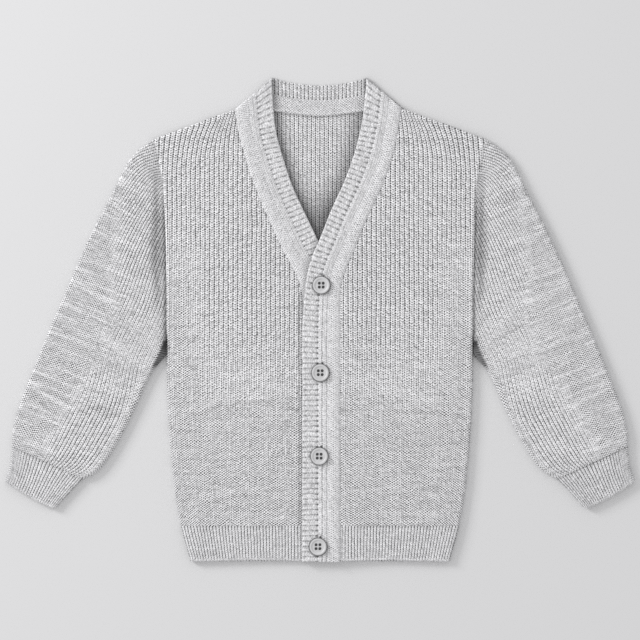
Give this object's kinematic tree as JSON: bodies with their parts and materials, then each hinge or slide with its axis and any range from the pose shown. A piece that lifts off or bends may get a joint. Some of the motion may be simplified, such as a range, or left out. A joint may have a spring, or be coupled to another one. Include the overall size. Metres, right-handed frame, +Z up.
{
  "type": "child's knit cardigan",
  "caption": "Child's rib-knit cardigan with a V neck, ribbed hem and cuffs and a buttoned front band, lying flat on its back with its sleeves out.",
  "frame": {"origin": "on the surface it lies on, under the middle of its width and length", "axes": "+X from the wearer's right to the wearer's left, across both sleeves; +Y from the hem to the neck; +Z up, out of the garment's front"},
  "size_m": [0.617, 0.474, 0.0102],
  "materials": {
    "knit": "light grey melange rib knit, matt",
    "rib": "light grey melange fine rib, matt",
    "band": "paler grey rib and plain knit, matt",
    "button": "grey, satin",
    "thread": "grey cotton"
  },
  "bodies": {
    "root": {"back_panel": "knit", "front_left": "knit", "front_right": "knit", "sleeve_left": "knit", "sleeve_right": "knit", "hem_back": "rib", "hem_left": "rib", "hem_right": "rib", "cuff_left": "rib", "cuff_right": "rib", "band_left": "band", "band_right": "band", "band_neck": "band", "button_1": "button", "button_2": "button", "button_3": "button", "button_4": "button", "button_thread_1": "thread", "button_thread_2": "thread", "button_thread_3": "thread", "button_thread_4": "thread"}
  },
  "joints": []
}
